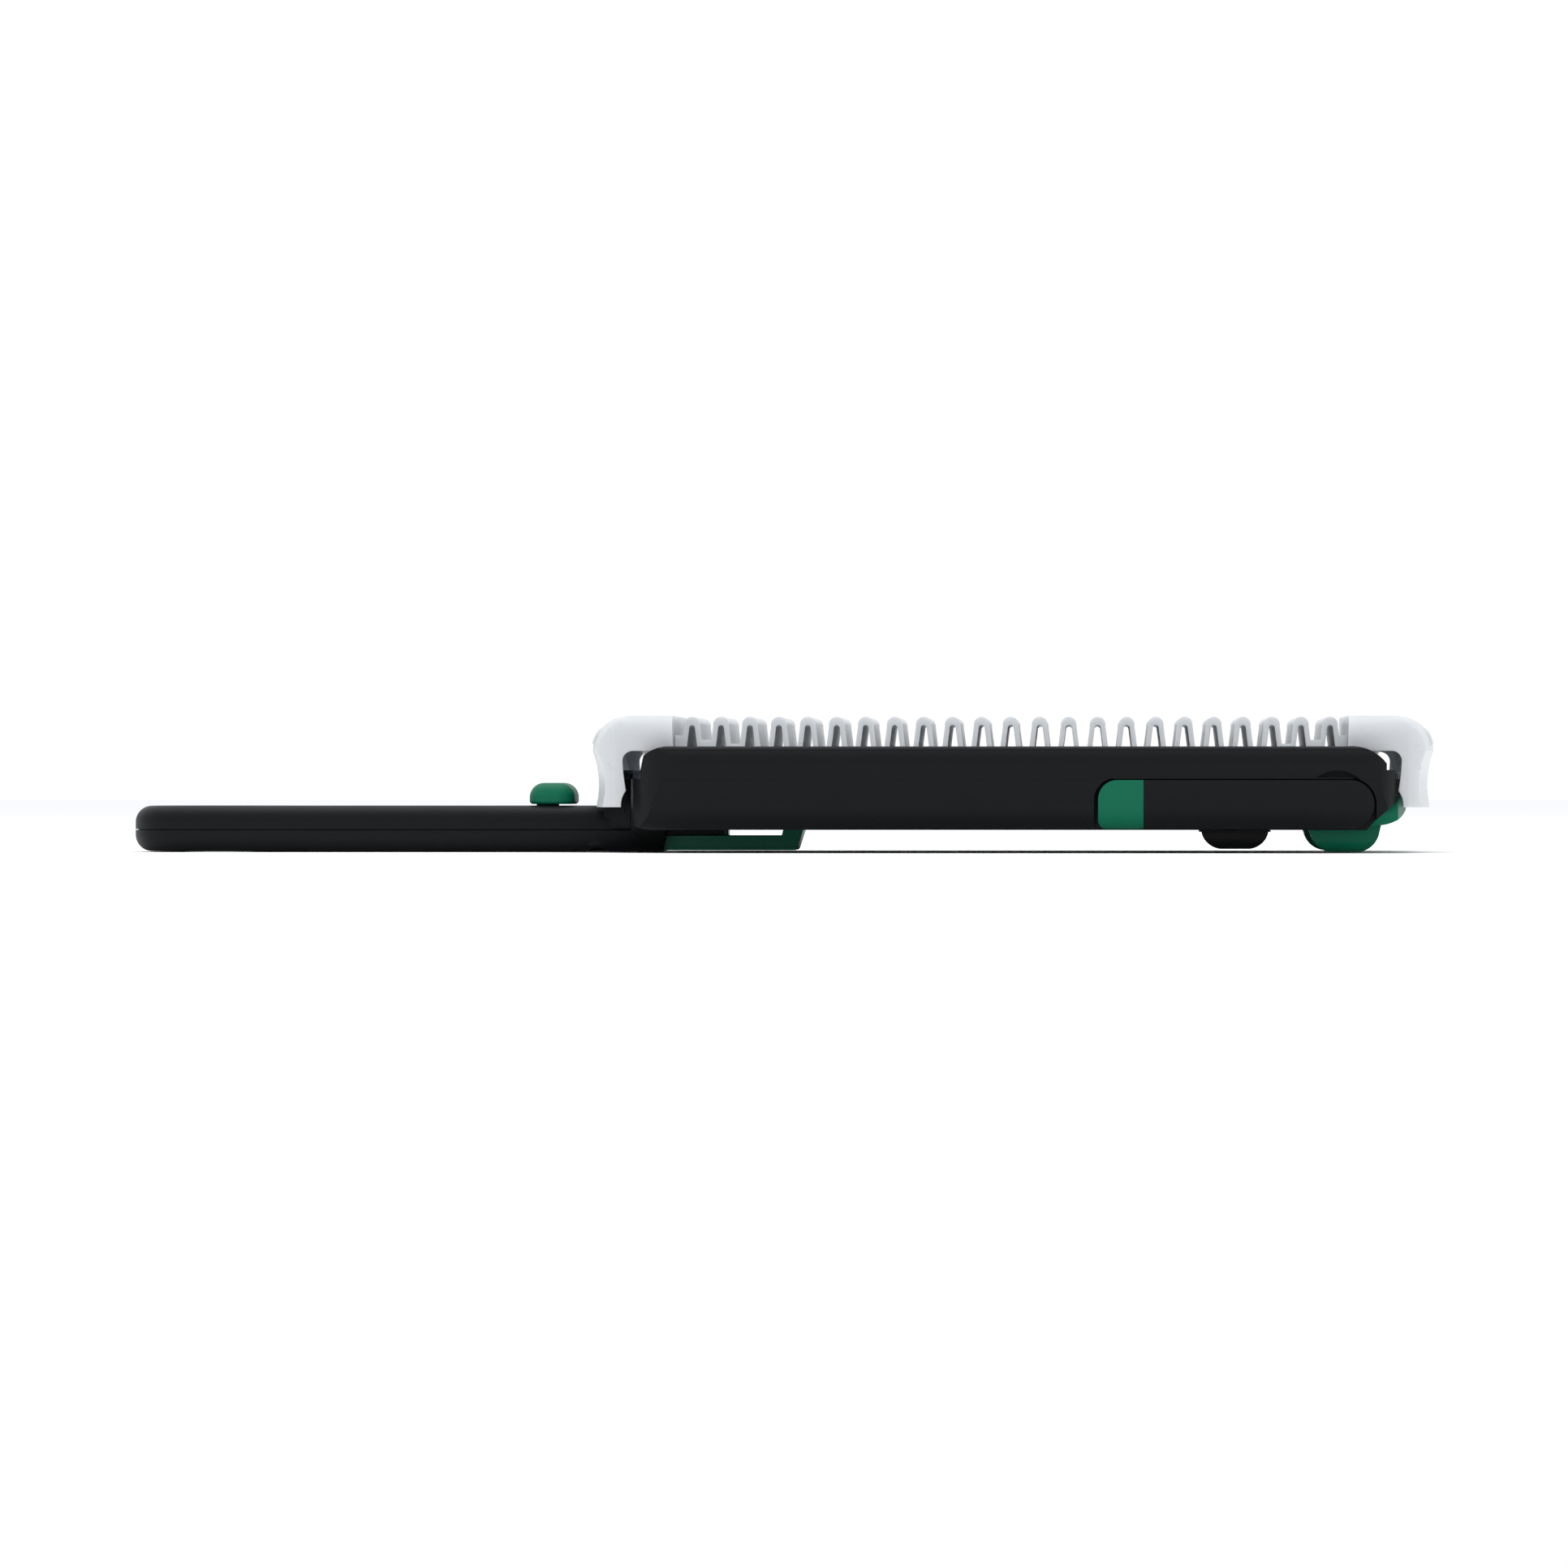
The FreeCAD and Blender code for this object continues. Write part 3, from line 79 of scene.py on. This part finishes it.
class Shader:
    """A new node material with one Principled shader, and short calls to wire it."""

    def __init__(self, name, **sockets):
        self.material = bpy.data.materials.new(name)
        self.material.use_nodes = True
        self.nodes = self.material.node_tree.nodes
        self.links = self.material.node_tree.links
        self.shader = self.nodes["Principled BSDF"]
        for socket, value in sockets.items():
            self.shader.inputs[socket.replace("_", " ")].default_value = value

    def add(self, kind, **values):
        node = self.nodes.new(kind)
        for key, value in values.items():
            setattr(node, key, value)
        return node

    def link(self, source, target):
        self.links.new(source, target)

    def place(self, scale=(1.0, 1.0, 1.0), turn=0.0):
        """Object coordinates, turned about Z and stretched."""
        where = self.add("ShaderNodeTexCoord")
        mapping = self.add("ShaderNodeMapping")
        mapping.inputs["Rotation"].default_value = (0.0, 0.0, turn)
        mapping.inputs["Scale"].default_value = scale
        self.link(where.outputs["Object"], mapping.inputs["Vector"])
        return mapping.outputs["Vector"]

    def noise(self, where, scale, detail=3.0, rough=0.55):
        """Fractal noise at a place, from about 0 to 1."""
        noise = self.add("ShaderNodeTexNoise")
        noise.inputs["Scale"].default_value = scale
        noise.inputs["Detail"].default_value = detail
        noise.inputs["Roughness"].default_value = rough
        self.link(where, noise.inputs["Vector"])
        return noise.outputs["Fac"]

    def spread(self, value, low, high):
        """A noise value mapped to the range from low to high."""
        ramp = self.add("ShaderNodeMapRange")
        ramp.inputs["From Min"].default_value = NOISE_LOW
        ramp.inputs["From Max"].default_value = NOISE_HIGH
        ramp.inputs["To Min"].default_value = low
        ramp.inputs["To Max"].default_value = high
        self.link(value, ramp.inputs["Value"])
        return ramp.outputs["Result"]

    def math(self, operation, *values):
        """One arithmetic node; its inputs are numbers or other nodes' outputs."""
        node = self.add("ShaderNodeMath", operation=operation)
        for socket, value in zip(node.inputs, values):
            if isinstance(value, (int, float)):
                socket.default_value = value
            else:
                self.link(value, socket)
        return node.outputs[0]

    def tint(self, value, dark, light):
        """Base colour between dark and light."""
        mix = self.add("ShaderNodeMix", data_type="RGBA")
        mix.inputs["A"].default_value = (*dark, 1.0)
        mix.inputs["B"].default_value = (*light, 1.0)
        self.link(value, mix.inputs["Factor"])
        self.link(mix.outputs["Result"], self.shader.inputs["Base Color"])

    def roughen(self, value, low, high):
        """Roughness that follows a noise value from low to high."""
        self.link(self.spread(value, low, high), self.shader.inputs["Roughness"])

    def bump(self, height, distance, strength, soft_edge=0.0):
        """Surface relief in metres, over softly rounded edges where a radius is given."""
        bump = self.add("ShaderNodeBump")
        bump.inputs["Distance"].default_value = distance
        bump.inputs["Strength"].default_value = strength
        self.link(height, bump.inputs["Height"])
        if soft_edge:
            edge = self.add("ShaderNodeBevel", samples=EDGE_SAMPLES)
            edge.inputs["Radius"].default_value = soft_edge
            self.link(edge.outputs["Normal"], bump.inputs["Normal"])
        self.link(bump.outputs["Normal"], self.shader.inputs["Normal"])


def moulded_plastic(name, dark, light, rough, grain, depth, gloss):
    """Moulded plastic with a fine spark-eroded texture and uneven sheen."""
    made = Shader(name, Specular_IOR_Level=gloss)
    where = made.place()
    made.tint(made.noise(where, scale=38.0, detail=4.0), dark, light)
    made.roughen(made.noise(where, scale=55.0, detail=5.0), low=rough - 0.05, high=rough + 0.07)
    texture = made.noise(where, scale=grain, detail=2.0, rough=0.6)
    made.bump(texture, distance=depth, strength=1.0, soft_edge=MOULDED_EDGE)
    return made.material


def matt_places(made, where):
    """1 in the guard channels and along the raised ribs of the deck and ramp, else 0."""
    axes = made.add("ShaderNodeSeparateXYZ")
    made.link(where, axes.inputs["Vector"])
    x, y, z = axes.outputs["X"], axes.outputs["Y"], axes.outputs["Z"]
    side = made.math("ABSOLUTE", y)
    in_channel = made.math("COMPARE", side, CHANNEL_MIDDLE, CHANNEL_HALF)
    low_down = made.math("LESS_THAN", z, CHANNEL_BELOW)
    channel = made.math("MULTIPLY", in_channel, low_down)
    along = made.math("MULTIPLY_ADD", y, BLADE_SLOPE, x)
    past_hinge = made.math("GREATER_THAN", x, RAMP_RIBS_FROM)
    before_slot = made.math("LESS_THAN", along, RAMP_RIBS_TO)
    past_blade = made.math("GREATER_THAN", along, DECK_RIBS_FROM)
    before_end = made.math("LESS_THAN", x, DECK_RIBS_TO)
    ramp = made.math("MULTIPLY", past_hinge, before_slot)
    deck = made.math("MULTIPLY", past_blade, before_end)
    between_channels = made.math("LESS_THAN", side, RIBS_HALF)
    on_plate = made.math("MULTIPLY", made.math("MAXIMUM", ramp, deck), between_channels)
    across = made.math("WRAP", y, RIB_PITCH, 0.0)
    on_rib = made.math("COMPARE", across, RIB_PITCH / 2.0, RIB_HALF)
    return made.math("MAXIMUM", channel, made.math("MULTIPLY", on_plate, on_rib))


def polished_deck():
    """Glossy black deck plastic, with a matt finish in the guard channels and on the ribs."""
    made = Shader("deck_polished", Specular_IOR_Level=0.55)
    where = made.place()
    made.tint(made.noise(where, scale=20.0), (0.009, 0.013, 0.018), (0.014, 0.020, 0.027))
    shine = made.spread(made.noise(where, scale=40.0), low=0.07, high=0.10)
    rough = made.add("ShaderNodeMix", data_type="FLOAT")
    rough.inputs["B"].default_value = MATT_ROUGH
    made.link(matt_places(made, where), rough.inputs["Factor"])
    made.link(shine, rough.inputs["A"])
    made.link(rough.outputs["Result"], made.shader.inputs["Roughness"])
    flow = made.noise(where, scale=18.0, detail=1.0)
    made.bump(flow, distance=0.00002, strength=0.3, soft_edge=POLISHED_EDGE)
    return made.material


def brushed_steel(name, turn, stretch, rough, shade):
    """Steel with fine scratches, drawn out along one direction by the stretch."""
    dark = (shade * 0.86, shade * 0.87, shade * 0.88)
    light = (shade, shade, shade * 1.01)
    made = Shader(name, Metallic=1.0)
    lines = made.noise(made.place(stretch, turn), scale=900.0, detail=4.0, rough=0.65)
    made.tint(lines, dark, light)
    made.roughen(lines, low=rough - 0.06, high=rough + 0.10)
    made.bump(lines, distance=0.000012, strength=0.6, soft_edge=STEEL_EDGE)
    return made.material


def frosted_guard():
    """Natural polypropylene: milky and soft, with a little of what is behind showing through."""
    made = Shader(
        "guard_frosted",
        IOR=1.45,
        Specular_IOR_Level=0.35,
        Alpha=0.92,
        Subsurface_Weight=0.5,
        Subsurface_Scale=0.004,
        Subsurface_Radius=(1.0, 1.05, 1.1),
    )
    where = made.place()
    made.tint(made.noise(where, scale=30.0), (0.600, 0.615, 0.630), (0.640, 0.655, 0.670))
    made.roughen(made.noise(where, scale=90.0, detail=4.0), low=0.26, high=0.38)
    made.bump(made.noise(where, scale=1400.0, detail=2.0), distance=0.000012, strength=0.5)
    return made.material


def dress(material, *names):
    """Give every slot of the named CAD nodes one material."""
    for name in names:
        for slot in NODES[name].material_slots:
            slot.material = material


def aimed(thing, place, target):
    """Put a camera or light in the scene at a place, turned to face the target."""
    thing.location = place
    thing.rotation_euler = (target - place).to_track_quat("-Z", "Y").to_euler()
    bpy.context.scene.collection.objects.link(thing)


def area_light(name, place, target, size, power):
    light = bpy.data.lights.new(name, "AREA")
    light.shape = "RECTANGLE"
    light.size, light.size_y = size
    light.energy = power
    aimed(bpy.data.objects.new(name, light), Vector(place), Vector(target))


def studio():
    """White room: even light from all sides, and one big soft light from above."""
    world = bpy.data.worlds.new("studio_world")
    bpy.context.scene.world = world
    world.use_nodes = True
    nodes, links = world.node_tree.nodes, world.node_tree.links
    around = nodes["Background"]
    around.inputs["Color"].default_value = ROOM_TINT
    around.inputs["Strength"].default_value = ROOM_STRENGTH
    seen = nodes.new("ShaderNodeBackground")
    seen.inputs["Color"].default_value = BACKDROP_WHITE
    seen.inputs["Strength"].default_value = ROOM_STRENGTH
    ray = nodes.new("ShaderNodeLightPath")
    mix = nodes.new("ShaderNodeMixShader")
    links.new(ray.outputs["Is Camera Ray"], mix.inputs["Fac"])
    links.new(around.outputs["Background"], mix.inputs[1])
    links.new(seen.outputs["Background"], mix.inputs[2])
    links.new(mix.outputs["Shader"], nodes["World Output"].inputs["Surface"])
    area_light(
        "top_softbox",
        place=(0.0, 0.2, 1.5),
        target=(0.0, 0.0, 0.0),
        size=(2.0, 1.4),
        power=13.0,
    )


def pale_floor():
    """A plain matt floor just under the slicer, wide enough to reach the horizon."""
    mesh = bpy.data.meshes.new("floor")
    corners = [
        (-FLOOR_REACH, -FLOOR_REACH, 0.0),
        (FLOOR_REACH, -FLOOR_REACH, 0.0),
        (FLOOR_REACH, FLOOR_REACH, 0.0),
        (-FLOOR_REACH, FLOOR_REACH, 0.0),
    ]
    mesh.from_pydata(corners, [], [(0, 1, 2, 3)])
    floor = bpy.data.objects.new("floor", mesh)
    floor.location.z = CAD_LOW.z - FLOOR_GAP
    bpy.context.scene.collection.objects.link(floor)
    made = Shader("floor_pale", Roughness=0.95, Specular_IOR_Level=0.0)
    made.tint(made.noise(made.place(), scale=3.0), (0.97, 0.965, 0.96), (0.985, 0.98, 0.975))
    mesh.materials.append(made.material)


def side_camera():
    middle = (CAD_LOW + CAD_HIGH) / 2.0
    place = Vector((VIEW_FROM_X, -VIEW_DISTANCE, middle.z))
    target = Vector((VIEW_TO_X, 0.0, middle.z))
    camera_data = bpy.data.cameras.new("camera")
    camera_data.sensor_width = SENSOR
    camera_data.lens = SENSOR * (target - place).length / VIEW_WIDTH
    camera_data.clip_start = CLIP_START
    camera = bpy.data.objects.new("camera", camera_data)
    aimed(camera, place, target)
    bpy.context.scene.camera = camera


BODY_BLACK = moulded_plastic(
    "body_satin_black",
    dark=(0.0042, 0.0046, 0.0056),
    light=(0.0062, 0.0067, 0.0080),
    rough=0.40,
    grain=2600.0,
    depth=0.00003,
    gloss=0.11,
)
INNER_BLACK = moulded_plastic(
    "inner_black",
    dark=(0.004, 0.004, 0.0045),
    light=(0.006, 0.006, 0.0066),
    rough=0.50,
    grain=1800.0,
    depth=0.00003,
    gloss=0.15,
)
GREEN_GRIP = moulded_plastic(
    "grip_green",
    dark=(0.0, 0.118, 0.060),
    light=(0.0, 0.140, 0.072),
    rough=0.42,
    grain=2200.0,
    depth=0.000022,
    gloss=0.16,
)
# The slider's green is painted lighter than the grip green, as painted light making up for the
# shade under the body where the slider sits; its lower roughness, finer grain and higher gloss are
# its own harder plastic.
GREEN_HARD_PAINTED_LIGHTER = moulded_plastic(
    "slider_green_painted_lighter",
    dark=(0.0, 0.180, 0.098),
    light=(0.0, 0.205, 0.112),
    rough=0.36,
    grain=1500.0,
    depth=0.00001,
    gloss=0.22,
)
NYLON = moulded_plastic(
    "bush_nylon",
    dark=(0.66, 0.65, 0.60),
    light=(0.74, 0.73, 0.69),
    rough=0.40,
    grain=1500.0,
    depth=0.00001,
    gloss=0.5,
)
BLADE_STEEL = brushed_steel(
    "blade_brushed", turn=-BLADE_SLANT, stretch=(1.0, 0.03, 1.0), rough=0.30, shade=0.22
)
TURNED_STEEL = brushed_steel(
    "turned_steel", turn=0.0, stretch=(1.0, 1.0, 1.0), rough=0.34, shade=0.55
)

dress(BODY_BLACK, "body_frame", "handle_lower_cover", "stand_arm_left", "stand_arm_right")
dress(INNER_BLACK, "blade_holder_left", "blade_holder_right", "stand_lock")
dress(polished_deck(), "deck_plate", "ramp_plate")
dress(GREEN_GRIP, "hang_ring", "nose_grip", "thickness_button", "stand_tip_left", "stand_tip_right")
dress(GREEN_HARD_PAINTED_LIGHTER, "thickness_slider")
dress(NYLON, "stand_bushes")
dress(BLADE_STEEL, "blade")
dress(
    TURNED_STEEL,
    "handle_screws",
    "blade_screws",
    "ramp_hinge_pin",
    "ramp_cam_pin",
    "button_screw",
    "detent_spring",
    "stand_axle",
)
dress(frosted_guard(), "guard_frame", "guard_comb")

bpy.context.scene.view_settings.view_transform = "Standard"
studio()
pale_floor()
side_camera()
